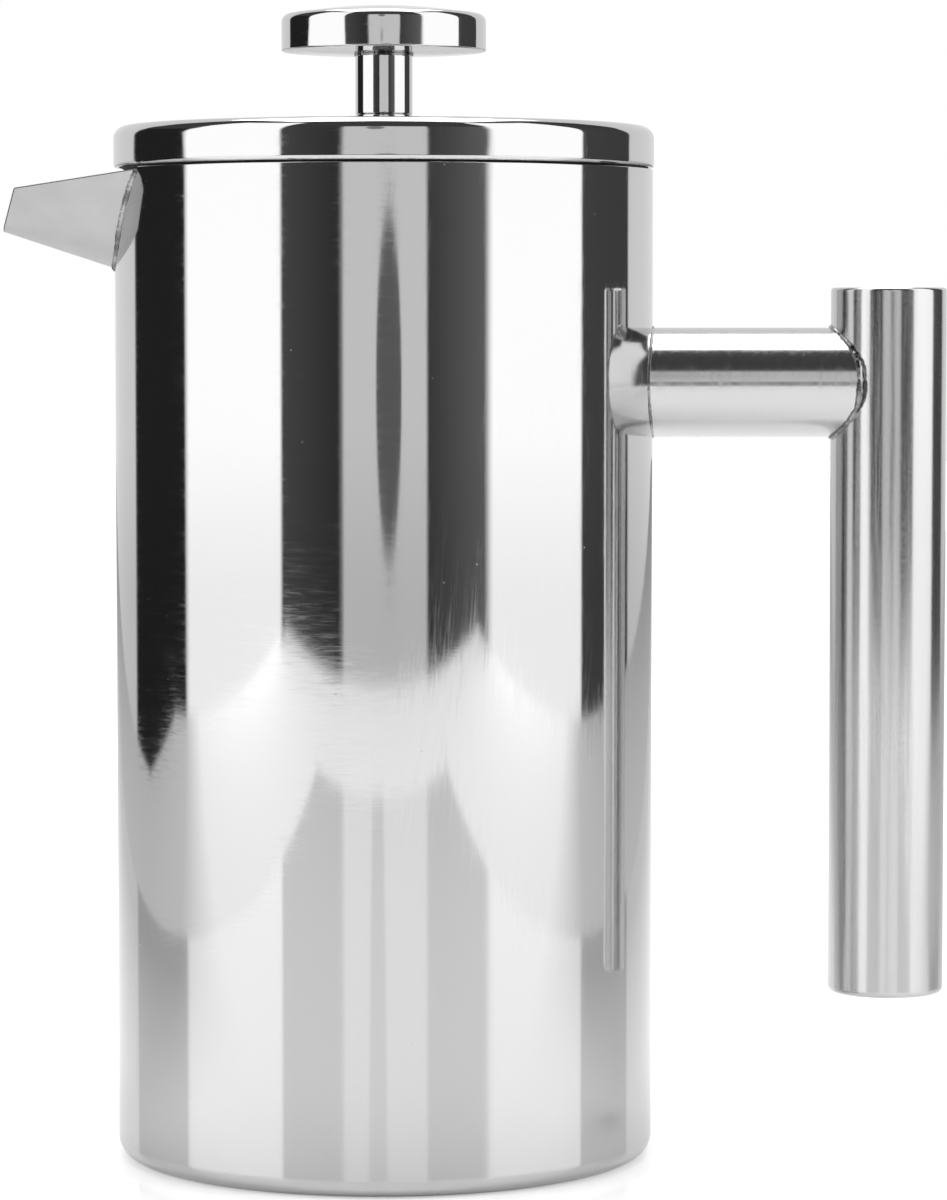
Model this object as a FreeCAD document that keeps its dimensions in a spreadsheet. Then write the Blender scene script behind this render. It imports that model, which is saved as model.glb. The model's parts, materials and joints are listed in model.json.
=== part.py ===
import FreeCAD, Part
import os
import re
import Sketcher
from FreeCAD import Placement, Rotation, Vector

# French press with a double-walled steel pot. Millimetres, +Z up. The origin is the centre of the
# pot's foot. The spout points to -X and the handle to +X.

SIZES = {
    # Pot: an outer shell and a liner with an air gap between them.
    "pot_radius": 50.0,
    "pot_height": 183.8,
    "shell_wall": 0.8,
    "foot_corner": 3.5,
    "foot_inner": 40.0,
    "plate_radius": 44.0,
    "plate_wall": 0.8,
    "liner_radius": 46.4,
    "liner_wall": 0.6,
    "liner_floor": 7.0,
    "liner_corner": 8.0,
    "rim_wall": 0.8,
    # Spout: a folded sheet with a round keel and flared sides.
    "spout_sheet": 0.9,
    "spout_flare": 38.0,
    "spout_top": 195.0,
    "root_reach": 38.0,
    "root_round": 18.6,
    "root_keel": 161.6,
    "tip_reach": 72.0,
    "tip_round": 3.9,
    "tip_keel": 172.76,
    "lip_reach": 68.0,
    "lip_height": 180.3,
    "lip_slope": 7.5,
    "lip_rake": 20.2,
    "rim_gap": 0.4,
    "bead_size": 0.6,
    # Handle: one upright tube on one short arm.
    "handle_offset": 94.1,
    "handle_radius": 10.75,
    "handle_wall": 1.0,
    "handle_bottom": 30.0,
    "handle_top": 162.0,
    "cap_wall": 1.4,
    "top_edge": 0.6,
    "bottom_edge": 1.2,
    "arm_height": 144.4,
    "arm_radius": 10.15,
    "arm_wall": 1.0,
    # Lid: a domed cap, a pan under it and a strainer skirt.
    "lid_radius": 50.2,
    "lid_bottom": 184.2,
    "lid_side": 7.9,
    "lid_corner": 2.3,
    "lid_wall": 0.8,
    "lid_crown": 1.1,
    "pan_bottom": 185.2,
    "pan_wall": 0.7,
    "skirt_radius": 45.4,
    "skirt_wall": 0.5,
    "skirt_bottom": 172.0,
    "slot_width": 1.6,
    "slot_bottom": 174.0,
    "slot_top": 183.0,
    "slot_count": 13,
    "slot_arc": 60.0,
    "seal_inner": 46.0,
    "seal_outer": 49.0,
    "seal_edge": 0.4,
    # Guide bush in the lid.
    "bush_radius": 4.5,
    "bush_bottom": 180.0,
    "collar_radius": 5.3,
    "collar_gap": 0.1,
    "collar_top": 194.1,
    "clip_radius": 7.0,
    "clip_wall": 0.8,
    "clip_gap": 0.2,
    "clip_mouth": 7.0,
    "running_gap": 0.05,
    # Plunger: rod, neck and knob.
    "rod_radius": 2.5,
    "rod_bottom": 13.0,
    "rod_top": 203.0,
    "knob_radius": 19.0,
    "knob_bottom": 205.3,
    "knob_flat": 6.0,
    "knob_rise": 0.45,
    "knob_side": 7.2,
    "knob_lower": 0.8,
    "knob_upper": 1.5,
    "knob_crown": 1.6,
    # Filter stack on the rod's lower end, from the bottom up.
    "hub_radius": 4.6,
    "cross_bottom": 15.0,
    "cross_wall": 1.0,
    "cross_radius": 42.0,
    "window_inner": 11.0,
    "window_outer": 36.0,
    "window_half": 19.0,
    "window_count": 6,
    "mesh_wall": 0.4,
    "mesh_radius": 45.4,
    "press_wall": 0.6,
    "press_radius": 42.2,
    "press_rim": 3.2,
    "press_hole": 2.6,
    "inner_ring": 14.0,
    "inner_count": 8,
    "middle_ring": 24.0,
    "middle_count": 14,
    "outer_ring": 34.0,
    "outer_count": 20,
    "coil_centre": 43.85,
    "coil_radius": 1.6,
    "nut_flats": 8.0,
    "nut_depth": 3.2,
}

doc = FreeCAD.newDocument("french_press")
sheet = doc.addObject("Spreadsheet::Sheet", "Sizes")
for row, (alias, value) in enumerate(SIZES.items(), start=1):
    sheet.set("A%d" % row, alias)
    sheet.set("B%d" % row, str(value))
    sheet.setAlias("B%d" % row, alias)
doc.recompute()


# ---- Helpers --------------------------------------------------------------------------------

def bound(text):
    """An expression in which each word_word is a cell of the sheet."""
    return re.sub(r"\b([a-z]+_[a-z]+)\b", r"Sizes.\1", text)


def number(text):
    """The expression's value now."""
    return float(sheet.evalExpression(bound(text)))


def origin_part(body, role):
    """One of the body's own origin planes or axes."""
    return next(item for item in body.Origin.OriginFeatures if item.Role == role)


def make_body(label):
    """An empty body with its own label."""
    body = doc.addObject("PartDesign::Body", label)
    body.Label = label
    return body


def make_sketch(body, name, role, shift=None):
    """A sketch on one of the body's planes, moved along the plane's normal by the shift."""
    sketch = body.newObject("Sketcher::SketchObject", name)
    sketch.AttachmentSupport = [(origin_part(body, role), "")]
    sketch.MapMode = "FlatFace"
    if shift:
        sketch.setExpression("AttachmentOffset.Base.z", bound(shift))
    return sketch


def pin_point(sketch, curve, end, across, up):
    """Ties one end of a curve to sheet values, measured from the sketch's origin."""
    for kind, axis, text in (("DistanceX", -2, across), ("DistanceY", -1, up)):
        value = number(text)
        if abs(value) < 1e-9:
            sketch.addConstraint(Sketcher.Constraint("PointOnObject", curve, end, axis))
            continue
        index = sketch.addConstraint(Sketcher.Constraint(kind, -1, 1, curve, end, value))
        sketch.setExpression("Constraints[%d]" % index, bound(text))


def arc_between(start, finish, radius, side):
    """The short arc from start to finish with its centre to the left or right of the way."""
    chord = finish - start
    across = Vector(-chord.y, chord.x, 0).normalize()
    reach = (radius ** 2 - (chord.Length / 2) ** 2) ** 0.5
    sign = 1 if side == "left" else -1
    centre = (start + finish) * 0.5 + across * (reach * sign)
    first, last = (start, finish) if side == "left" else (finish, start)
    circle = Part.Circle(centre, Vector(0, 0, 1), radius)
    return Part.ArcOfCircle(circle, circle.parameter(first), circle.parameter(last))


def outline(sketch, corners):
    """A closed outline. A corner is (across, up), or (across, up, radius, side) where an arc of that
    radius runs to the next corner with its centre on that side of the way."""
    points = [Vector(number(corner[0]), number(corner[1]), 0) for corner in corners]
    ends = []
    for index, corner in enumerate(corners):
        start = points[index]
        finish = points[(index + 1) % len(points)]
        if len(corner) == 2:
            curve = sketch.addGeometry(Part.LineSegment(start, finish))
            ends.append((curve, 1, 2))
            continue
        curve = sketch.addGeometry(arc_between(start, finish, number(corner[2]), corner[3]))
        ends.append((curve, 1, 2) if corner[3] == "left" else (curve, 2, 1))
        radius = sketch.addConstraint(Sketcher.Constraint("Radius", curve, number(corner[2])))
        sketch.setExpression("Constraints[%d]" % radius, bound(corner[2]))
    for index, (curve, head, tail) in enumerate(ends):
        after, first, _ = ends[(index + 1) % len(ends)]
        sketch.addConstraint(Sketcher.Constraint("Coincident", curve, tail, after, first))
        pin_point(sketch, curve, head, corners[index][0], corners[index][1])


def circle_at(sketch, across, up, radius):
    """A full circle in the sketch."""
    centre = Vector(number(across), number(up), 0)
    curve = sketch.addGeometry(Part.Circle(centre, Vector(0, 0, 1), number(radius)))
    pin_point(sketch, curve, 3, across, up)
    index = sketch.addConstraint(Sketcher.Constraint("Radius", curve, number(radius)))
    sketch.setExpression("Constraints[%d]" % index, bound(radius))


def turned(label, corners):
    """A body turned about Z from a half section in X and Z."""
    body = make_body(label)
    sketch = make_sketch(body, label + "_section", "XZ_Plane")
    outline(sketch, corners)
    turn = body.newObject("PartDesign::Revolution", label + "_turn")
    turn.Profile = (sketch, [""])
    turn.ReferenceAxis = (sketch, ["V_Axis"])
    turn.Angle = 360
    return body


def repeated(body, feature, name, count, arc="360"):
    """Repeats a feature about Z, over an arc or the full turn."""
    doc.recompute()
    ring = body.newObject("PartDesign::PolarPattern", name + "_ring")
    ring.Originals = [feature]
    ring.Axis = (origin_part(body, "Z_Axis"), [""])
    ring.setExpression("Angle", bound(arc))
    ring.setExpression("Occurrences", bound(count))
    body.Tip = ring


def pierced(body, name, level, draw, count):
    """Holes through a flat body at a level, repeated about Z. The draw function fills the sketch."""
    sketch = make_sketch(body, name + "_sketch", "XY_Plane", level)
    draw(sketch)
    hole = body.newObject("PartDesign::Pocket", name)
    hole.Profile = (sketch, [""])
    hole.Type = "ThroughAll"
    hole.SideType = "Symmetric"
    repeated(body, hole, name, count)


def rod(name, radius, height, x="0", z="0", lying=False):
    """A plain cylinder, upright or lying along +X."""
    piece = doc.addObject("Part::Cylinder", name)
    piece.Label = name
    if lying:
        piece.Placement = Placement(Vector(), Rotation(Vector(0, 1, 0), 90))
    piece.setExpression("Radius", bound(radius))
    piece.setExpression("Height", bound(height))
    piece.setExpression("Placement.Base.x", bound(x))
    piece.setExpression("Placement.Base.z", bound(z))
    return piece


def cut(name, base, tool):
    """The base without the tool."""
    piece = doc.addObject("Part::Cut", name)
    piece.Label = name
    piece.Base = base
    piece.Tool = tool
    return piece


def shared(name, first, second):
    """What two solids have in common."""
    piece = doc.addObject("Part::Common", name)
    piece.Label = name
    piece.Base = first
    piece.Tool = second
    return piece


def tube(name, outer, inner, height, **place):
    """A hollow cylinder."""
    return cut(name, rod(name + "_outside", outer, height, **place),
               rod(name + "_inside", inner, height, **place))


# ---- Spout ----------------------------------------------------------------------------------

def spout_section(body, name, reach, round_size, keel, growth):
    """One upright section of the spout: a round keel between flared sides, grown all round."""
    sketch = make_sketch(body, name, "YZ_Plane", "-" + reach)
    radius = "(%s + %s)" % (round_size, growth)
    centre = "(%s + %s)" % (keel, round_size)
    foot = "%s - %s * sin(spout_flare)" % (centre, radius)
    half = "%s * cos(spout_flare)" % radius
    wide = "%s + (spout_top - (%s)) * tan(spout_flare)" % (half, foot)
    outline(sketch, [
        ("-(%s)" % wide, "spout_top"),
        ("-(%s)" % half, foot, radius, "left"),
        (half, foot),
        (wide, "spout_top"),
    ])
    return sketch


def spout_form(label, growth):
    """The solid that fills the spout up to above the rim, grown all round."""
    body = make_body(label)
    root = spout_section(body, label + "_root", "root_reach", "root_round", "root_keel", growth)
    tip = spout_section(body, label + "_tip", "tip_reach", "tip_round", "tip_keel", growth)
    loft = body.newObject("PartDesign::AdditiveLoft", label + "_loft")
    loft.Profile = (root, [""])
    loft.Sections = [(tip, [""])]
    loft.Ruled = True
    return body


def spout_side():
    """The side view of the spout: level inside the rim, a sloping lip and a raked end."""
    body = make_body("spout_side")
    sketch = make_sketch(body, "spout_side_view", "XZ_Plane")
    level = "(pot_height - rim_gap)"
    below = "(lip_height - root_keel)"
    outline(sketch, [
        ("-root_reach", level),
        ("-(lip_reach - (%s - lip_height) / tan(lip_slope))" % level, level),
        ("-lip_reach", "lip_height"),
        ("-(lip_reach + %s * tan(lip_rake))" % below, "root_keel"),
        ("-root_reach", "root_keel"),
    ])
    pad = body.newObject("PartDesign::Pad", "spout_side_pad")
    pad.Profile = (sketch, [""])
    pad.SideType = "Symmetric"
    pad.setExpression("Length", bound("2 * pot_radius"))
    return body


spout_outside = spout_form("spout_outside", "0")
spout_hollow = spout_form("spout_hollow", "-spout_sheet")
spout_grown = spout_form("spout_grown", "bead_size")
spout_trim = spout_side()
pot_inside = rod("pot_inside", "liner_radius - liner_wall", "pot_height")
spout_sheet = cut("spout_folded", spout_outside, spout_hollow)
spout_long = shared("spout_long", spout_sheet, spout_trim)
spout = cut("spout", spout_long, pot_inside)

bead_ring = tube("bead_ring", "pot_radius + bead_size", "pot_radius", "pot_height - bead_size")
bead_sheet = cut("bead_sheet", spout_grown, spout_outside)
spout_weld = shared("spout_weld", bead_sheet, bead_ring)

# ---- Pot ------------------------------------------------------------------------------------

shell_blank = turned("shell_blank", [
    ("foot_inner", "0"),
    ("pot_radius - foot_corner", "0", "foot_corner", "left"),
    ("pot_radius", "foot_corner"),
    ("pot_radius", "pot_height"),
    ("pot_radius - shell_wall", "pot_height"),
    ("pot_radius - shell_wall", "foot_corner", "foot_corner - shell_wall", "right"),
    ("pot_radius - foot_corner", "shell_wall"),
    ("foot_inner", "shell_wall"),
])
outer_shell = cut("outer_shell", shell_blank, spout_outside)

liner_blank = turned("liner_blank", [
    ("0", "liner_floor"),
    ("liner_radius - liner_corner", "liner_floor", "liner_corner", "left"),
    ("liner_radius", "liner_floor + liner_corner"),
    ("liner_radius", "pot_height - rim_wall"),
    ("pot_radius - shell_wall", "pot_height - rim_wall"),
    ("pot_radius - shell_wall", "pot_height"),
    ("liner_radius - liner_wall", "pot_height"),
    ("liner_radius - liner_wall", "liner_floor + liner_corner", "liner_corner - liner_wall", "right"),
    ("liner_radius - liner_corner", "liner_floor + liner_wall"),
    ("0", "liner_floor + liner_wall"),
])
inner_liner = cut("inner_liner", liner_blank, spout_outside)

base_plate = rod("base_plate", "plate_radius", "plate_wall", z="shell_wall")

# ---- Handle ---------------------------------------------------------------------------------

handle_tube = tube("handle_tube", "handle_radius", "handle_radius - handle_wall",
                   "handle_top - handle_bottom - 2 * cap_wall",
                   x="handle_offset", z="handle_bottom + cap_wall")


def end_cap(label, edge, face, side, shoulder, seat):
    """A round end cap with a softened edge between its outward face and its shoulder."""
    piece = turned(label, [
        ("0", face),
        ("handle_radius - " + edge, face, edge, side),
        ("handle_radius", shoulder),
        ("handle_radius", seat),
        ("0", seat),
    ])
    piece.setExpression("Placement.Base.x", bound("handle_offset"))
    return piece


handle_top_cap = end_cap("handle_top_cap", "top_edge", "handle_top", "right",
                         "handle_top - top_edge", "handle_top - cap_wall")
handle_bottom_cap = end_cap("handle_bottom_cap", "bottom_edge", "handle_bottom", "left",
                            "handle_bottom + bottom_edge", "handle_bottom + cap_wall")

pot_column = rod("pot_column", "pot_radius", "pot_height")
handle_column = rod("handle_column", "handle_radius", "pot_height", x="handle_offset")
arm_long = tube("arm_long", "arm_radius", "arm_radius - arm_wall", "handle_offset",
                z="arm_height", lying=True)
arm_outside = rod("arm_outside", "arm_radius", "handle_offset", z="arm_height", lying=True)
arm_grown = rod("arm_grown", "arm_radius + bead_size", "handle_offset", z="arm_height", lying=True)
arm_clear = cut("arm_clear", arm_long, pot_column)
handle_arm = cut("handle_arm", arm_clear, handle_column)

arm_sleeve = cut("arm_sleeve", arm_grown, arm_outside)
pot_bead = tube("pot_bead", "pot_radius + bead_size", "pot_radius", "pot_height")
handle_bead = tube("handle_bead", "handle_radius + bead_size", "handle_radius", "pot_height",
                   x="handle_offset")
arm_root_weld = shared("arm_root_weld", arm_sleeve, pot_bead)
arm_tube_weld = shared("arm_tube_weld", arm_sleeve, handle_bead)

# ---- Lid ------------------------------------------------------------------------------------

dome = "((lid_radius - lid_corner) ^ 2 + lid_crown ^ 2) / (2 * lid_crown)"
crown = "lid_bottom + lid_side + lid_crown"
hole = "bush_radius + running_gap"
lid_cap = turned("lid_cap", [
    ("lid_radius", "lid_bottom"),
    ("lid_radius", "lid_bottom + lid_side - lid_corner", "lid_corner", "left"),
    ("lid_radius - lid_corner", "lid_bottom + lid_side", dome, "left"),
    (hole, "%s - %s + sqrt((%s) ^ 2 - (%s) ^ 2)" % (crown, dome, dome, hole)),
    (hole, "%s - %s + sqrt((%s - lid_wall) ^ 2 - (%s) ^ 2)" % (crown, dome, dome, hole),
     "%s - lid_wall" % dome, "right"),
    ("lid_radius - lid_corner", "lid_bottom + lid_side - lid_wall", "lid_corner - lid_wall", "right"),
    ("lid_radius - lid_wall", "lid_bottom + lid_side - lid_corner"),
    ("lid_radius - lid_wall", "lid_bottom"),
])

lid_pan = tube("lid_pan", "lid_radius - lid_wall", hole, "pan_wall", z="pan_bottom")

lid_skirt = turned("lid_skirt", [
    ("skirt_radius - skirt_wall", "skirt_bottom"),
    ("skirt_radius", "skirt_bottom"),
    ("skirt_radius", "pan_bottom"),
    ("skirt_radius - skirt_wall", "pan_bottom"),
])


def strainer_slots():
    """Upright slots through the skirt, spread over an arc that faces the spout."""
    sketch = make_sketch(lid_skirt, "slot_sketch", "YZ_Plane")
    outline(sketch, [
        ("-slot_width / 2", "slot_bottom"),
        ("slot_width / 2", "slot_bottom"),
        ("slot_width / 2", "slot_top"),
        ("-slot_width / 2", "slot_top"),
    ])
    slot = lid_skirt.newObject("PartDesign::Pocket", "slot")
    slot.Profile = (sketch, [""])
    slot.setExpression("Length", bound("skirt_radius + skirt_wall"))
    repeated(lid_skirt, slot, "slot", "slot_count", "slot_arc")
    lid_skirt.Placement = Placement(Vector(), Rotation(Vector(0, 0, 1), -number("slot_arc") / 2))


strainer_slots()

lid_seal = turned("lid_seal", [
    ("seal_inner + seal_edge", "pot_height"),
    ("seal_outer - seal_edge", "pot_height", "seal_edge", "left"),
    ("seal_outer", "pot_height + seal_edge"),
    ("seal_outer", "pan_bottom - seal_edge", "seal_edge", "left"),
    ("seal_outer - seal_edge", "pan_bottom"),
    ("seal_inner + seal_edge", "pan_bottom", "seal_edge", "left"),
    ("seal_inner", "pan_bottom - seal_edge"),
    ("seal_inner", "pot_height + seal_edge", "seal_edge", "left"),
])

# ---- Guide bush -----------------------------------------------------------------------------

rod_bush = turned("rod_bush", [
    ("rod_radius + running_gap", "bush_bottom"),
    ("bush_radius", "bush_bottom"),
    ("bush_radius", crown + " + collar_gap"),
    ("collar_radius", crown + " + collar_gap"),
    ("collar_radius", "collar_top"),
    ("rod_radius + running_gap", "collar_top"),
])

clip_place = {"z": "pan_bottom - clip_gap - clip_wall"}
clip_ring = tube("clip_ring", "clip_radius", "bush_radius", "clip_wall", **clip_place)
clip_slot = doc.addObject("Part::Box", "clip_slot")
clip_slot.setExpression("Length", bound("clip_radius"))
clip_slot.setExpression("Width", bound("clip_mouth"))
clip_slot.setExpression("Height", bound("clip_wall"))
clip_slot.setExpression("Placement.Base.y", bound("-clip_mouth / 2"))
clip_slot.setExpression("Placement.Base.z", bound(clip_place["z"]))
bush_clip = cut("bush_clip", clip_ring, clip_slot)

# ---- Plunger --------------------------------------------------------------------------------

plunger_rod = rod("plunger_rod", "rod_radius", "rod_top - rod_bottom", z="rod_bottom")

knob_neck = turned("knob_neck", [
    ("rod_radius", "collar_top"),
    ("collar_radius", "collar_top"),
    ("collar_radius", "knob_bottom"),
    ("0", "knob_bottom"),
    ("0", "rod_top"),
    ("rod_radius", "rod_top"),
])

knob_edge = "knob_bottom + knob_rise + knob_lower"
knob_shoulder = "knob_bottom + knob_side"
knob_dome = "((knob_radius - knob_upper) ^ 2 + knob_crown ^ 2) / (2 * knob_crown)"
knob_disc = turned("knob_disc", [
    ("0", "knob_bottom"),
    ("knob_flat", "knob_bottom"),
    ("knob_radius - knob_lower", "knob_bottom + knob_rise", "knob_lower", "left"),
    ("knob_radius", knob_edge),
    ("knob_radius", knob_shoulder + " - knob_upper", "knob_upper", "left"),
    ("knob_radius - knob_upper", knob_shoulder, knob_dome, "left"),
    ("0", knob_shoulder + " + knob_crown"),
])

knob_weld = turned("knob_weld", [
    ("collar_radius", "knob_bottom - bead_size"),
    ("collar_radius + bead_size", "knob_bottom"),
    ("collar_radius", "knob_bottom"),
])

# ---- Filter stack ---------------------------------------------------------------------------

hub_nut = tube("hub_nut", "hub_radius", "rod_radius", "cross_bottom + cross_wall - rod_bottom",
               z="rod_bottom")

cross_top = "cross_bottom + cross_wall"
cross_plate = turned("cross_plate", [
    ("hub_radius", "cross_bottom"),
    ("cross_radius", "cross_bottom"),
    ("cross_radius", cross_top),
    ("hub_radius", cross_top),
])


def window(sketch):
    """A sector-shaped window between two of the cross plate's spokes."""
    outline(sketch, [
        ("window_inner * cos(window_half)", "-window_inner * sin(window_half)"),
        ("window_outer * cos(window_half)", "-window_outer * sin(window_half)",
         "window_outer", "left"),
        ("window_outer * cos(window_half)", "window_outer * sin(window_half)"),
        ("window_inner * cos(window_half)", "window_inner * sin(window_half)",
         "window_inner", "right"),
    ])


pierced(cross_plate, "window", cross_top, window, "window_count")

mesh_screen = tube("mesh_screen", "mesh_radius", "rod_radius", "mesh_wall", z=cross_top)

press_bottom = cross_top + " + mesh_wall"
press_top = press_bottom + " + press_wall"
press_plate = turned("press_plate", [
    ("rod_radius", press_bottom),
    ("press_radius", press_bottom),
    ("press_radius", press_bottom + " + press_rim"),
    ("press_radius - press_wall", press_bottom + " + press_rim"),
    ("press_radius - press_wall", press_top),
    ("rod_radius", press_top),
])
for place in ("inner", "middle", "outer"):
    pierced(press_plate, place + "_hole", press_top,
            lambda sketch: circle_at(sketch, place + "_ring", "0", "press_hole"), place + "_count")

edge_spring = doc.addObject("Part::Torus", "edge_spring")
edge_spring.Label = "edge_spring"
edge_spring.setExpression("Radius1", bound("coil_centre"))
edge_spring.setExpression("Radius2", bound("coil_radius"))
edge_spring.setExpression("Placement.Base.z", bound(press_bottom + " + coil_radius"))

nut_hex = doc.addObject("Part::Prism", "nut_hex")
nut_hex.Polygon = 6
nut_hex.setExpression("Circumradius", bound("nut_flats / 2 / cos(30)"))
nut_hex.setExpression("Height", bound("nut_depth"))
nut_hex.setExpression("Placement.Base.z", bound(press_top))
stop_nut = cut("stop_nut", nut_hex, rod("nut_bore", "rod_radius", "nut_depth", z=press_top))

# ---- Check and write ------------------------------------------------------------------------

NODES = (
    outer_shell, inner_liner, base_plate, spout, spout_weld,
    handle_arm, arm_root_weld, handle_tube, arm_tube_weld, handle_top_cap, handle_bottom_cap,
    lid_seal, lid_cap, lid_pan, lid_skirt, rod_bush, bush_clip,
    plunger_rod, knob_disc, knob_neck, knob_weld,
    hub_nut, cross_plate, mesh_screen, press_plate, edge_spring, stop_nut,
)

doc.recompute()
for item in doc.Objects:
    if "Invalid" in item.State or "Error" in item.State:
        raise RuntimeError("%s failed: %s" % (item.Label, item.State))
for node in NODES:
    if node.Shape.isNull() or not node.Shape.isValid() or not node.Shape.Solids:
        raise RuntimeError("%s has no valid solid" % node.Label)

os.makedirs("parts", exist_ok=True)
for node in NODES:
    node.Shape.exportStep("parts/%s.step" % node.Label)
    box = node.Shape.BoundBox
    print("%-18s solids %d volume %9.1f  x %.2f..%.2f  y %.2f..%.2f  z %.2f..%.2f" % (
        node.Label, len(node.Shape.Solids), node.Shape.Volume,
        box.XMin, box.XMax, box.YMin, box.YMax, box.ZMin, box.ZMax))
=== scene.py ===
import json
import math
import random

import bpy
from bpy.props import FloatProperty, FloatVectorProperty, IntProperty, PointerProperty
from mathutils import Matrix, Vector


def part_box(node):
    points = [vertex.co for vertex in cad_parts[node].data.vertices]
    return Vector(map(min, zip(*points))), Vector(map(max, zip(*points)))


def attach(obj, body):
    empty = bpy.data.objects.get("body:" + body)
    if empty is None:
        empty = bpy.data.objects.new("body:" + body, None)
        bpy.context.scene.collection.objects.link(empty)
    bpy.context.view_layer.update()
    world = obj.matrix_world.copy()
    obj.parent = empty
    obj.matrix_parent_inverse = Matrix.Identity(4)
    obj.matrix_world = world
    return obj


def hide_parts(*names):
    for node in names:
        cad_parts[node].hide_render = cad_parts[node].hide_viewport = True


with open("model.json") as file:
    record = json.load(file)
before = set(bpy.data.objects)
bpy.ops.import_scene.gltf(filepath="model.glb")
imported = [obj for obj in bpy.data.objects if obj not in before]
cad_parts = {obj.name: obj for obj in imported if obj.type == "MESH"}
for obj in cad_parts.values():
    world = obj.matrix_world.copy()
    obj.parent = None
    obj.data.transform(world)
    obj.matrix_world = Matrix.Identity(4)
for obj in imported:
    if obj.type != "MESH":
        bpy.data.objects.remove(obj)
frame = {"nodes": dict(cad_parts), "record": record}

bl_info = {
    "name": "Coffee Press",
    "version": (1, 0, 0),
    "blender": (4, 5, 0),
    "location": "View3D > Sidebar > Coffee Press",
    "description": "Builds a double-walled steel coffee press and the studio it stands in",
    "category": "Add Mesh",
}

MM = 0.001
TURN = 2 * math.pi
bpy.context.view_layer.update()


def low(node):
    """Lowest corner of a frame node."""
    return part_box(node)[0]


def high(node):
    """Highest corner of a frame node."""
    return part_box(node)[1]


def reach(node, centre=(0, 0)):
    """Largest distance of a frame node from an upright axis."""
    points = frame["nodes"][node].data.vertices
    return max(math.hypot(p.co.x - centre[0], p.co.y - centre[1]) for p in points)


# ---- Sizes, finishes and studio settings ----

def length(name, description, default):
    """A length property in metres."""
    return FloatProperty(name=name, description=description, default=default, unit="LENGTH",
                         precision=5)


def colour(name, description, default):
    """A colour property."""
    return FloatVectorProperty(name=name, description=description, default=default, size=3,
                               min=0, max=1, subtype="COLOR")


def share(name, description, default):
    """A property between 0 and 1."""
    return FloatProperty(name=name, description=description, default=default, min=0, max=1,
                         subtype="FACTOR")


def number(name, description, default):
    """A plain number property."""
    return FloatProperty(name=name, description=description, default=default)


class PressSizes(bpy.types.PropertyGroup):
    """Sizes of the press that the frame doesn't give."""
    round_steps: IntProperty(name="Round steps", description="Faces round a large turned piece",
                             default=192, min=48, max=256)
    small_steps: IntProperty(name="Small round steps", description="Faces round a small piece",
                             default=96, min=24, max=192)
    shell_wall: length("Shell wall", "Thickness of the polished shell", 0.8 * MM)
    foot_corner: length("Foot corner", "Rounding between the shell and its foot", 3.5 * MM)
    foot_inner: length("Foot opening", "Inner radius of the in-turned foot", 40 * MM)
    cup_wall: length("Cup wall", "Thickness of the inner cup", 0.6 * MM)
    cup_corner: length("Cup corner", "Rounding at the cup's floor", 8 * MM)
    cup_radius: length("Cup radius", "Outer radius of the inner cup", 46.4 * MM)
    spout_sheet: length("Spout sheet", "Thickness of the spout's sheet", 0.9 * MM)
    bead_size: length("Bead size", "Radius of a weld bead", 0.5 * MM)
    tube_wall: length("Tube wall", "Wall of the handle's tubes", 1 * MM)
    lid_wall: length("Lid wall", "Thickness of the lid's cover", 0.8 * MM)
    lid_corner: length("Lid corner", "Rounding at the lid's edge", 2.3 * MM)
    wire: length("Spring wire", "Radius of the filter spring's wire", 0.35 * MM)


class PressFinishes(bpy.types.PropertyGroup):
    """Colours and polish."""
    steel: colour("Polished steel", "Colour of the polished steel", (0.66, 0.66, 0.66))
    tube: colour("Handle steel", "Colour of the handle's tubes", (0.63, 0.63, 0.63))
    sheet: colour("Spout steel", "Colour of the spout's sheet", (0.58, 0.58, 0.58))
    satin: colour("Satin steel", "Colour of the inner pieces", (0.56, 0.56, 0.56))
    # The cut edge's dark colour is painted shade along the spout sheet's edges.
    edge: colour("Cut edge with painted shade", "Colour of a sheared edge with painted shade", (0.16, 0.16, 0.16))
    weld: colour("Weld", "Colour of a weld bead", (0.47, 0.468, 0.462))
    seal: colour("Seal", "Colour of the seal ring", (0.012, 0.012, 0.012))
    polish: share("Polish", "Roughness of the polished steel", 0.045)


class PressStudio(bpy.types.PropertyGroup):
    """Camera, lights and surround."""
    camera_side: length("Camera to the side", "Camera's offset towards the handle", 16.65 * MM)
    camera_away: length("Camera distance", "Camera's distance in front of the pot", 844.7 * MM)
    camera_height: length("Camera height", "Camera's height over the floor", 157 * MM)
    camera_pitch: FloatProperty(name="Camera pitch", description="How far the camera looks down",
                                default=math.radians(3.613), subtype="ANGLE")
    focal: number("Focal length", "Lens on a 36 mm sensor, in millimetres", 135.63)
    box_away: length("Softbox distance", "Distance of the side softboxes", 1.3)
    box_tall: length("Softbox height", "Height of the side softboxes", 1.2)
    box_glow: number("Softbox glow", "Brightness of the side softboxes", 2.2)
    top_away: length("Top softbox height", "Height of the softbox overhead", 1.45)
    top_glow: number("Top glow", "Brightness of the softbox overhead", 3.0)
    floor_side: length("Floor half width", "Half the width of the pale floor", 0.98)
    floor_front: length("Floor front", "How far the floor runs to the front", 1.17)
    floor_back: length("Floor back", "How far the floor runs to the back", 4.0)
    floor: colour("Floor", "Colour of the floor", (0.88, 0.88, 0.88))
    sheet: share("Glossy sheet", "Gloss of the sheet under the press", 0.68)
    fill: number("Floor fill", "Extra light from the floor in front", 0.32)


def sizes():
    """The press's sizes."""
    return bpy.context.scene.press_sizes


def finishes():
    """The press's finishes."""
    return bpy.context.scene.press_finishes


def studio():
    """The studio's settings."""
    return bpy.context.scene.press_studio


# ---- Mesh helpers ----

MERGE = 0.001 * MM
GUARD = 0.15 * MM
SMOOTH_ANGLE = math.radians(35)
WEAVE = 0.8 * MM


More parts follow.
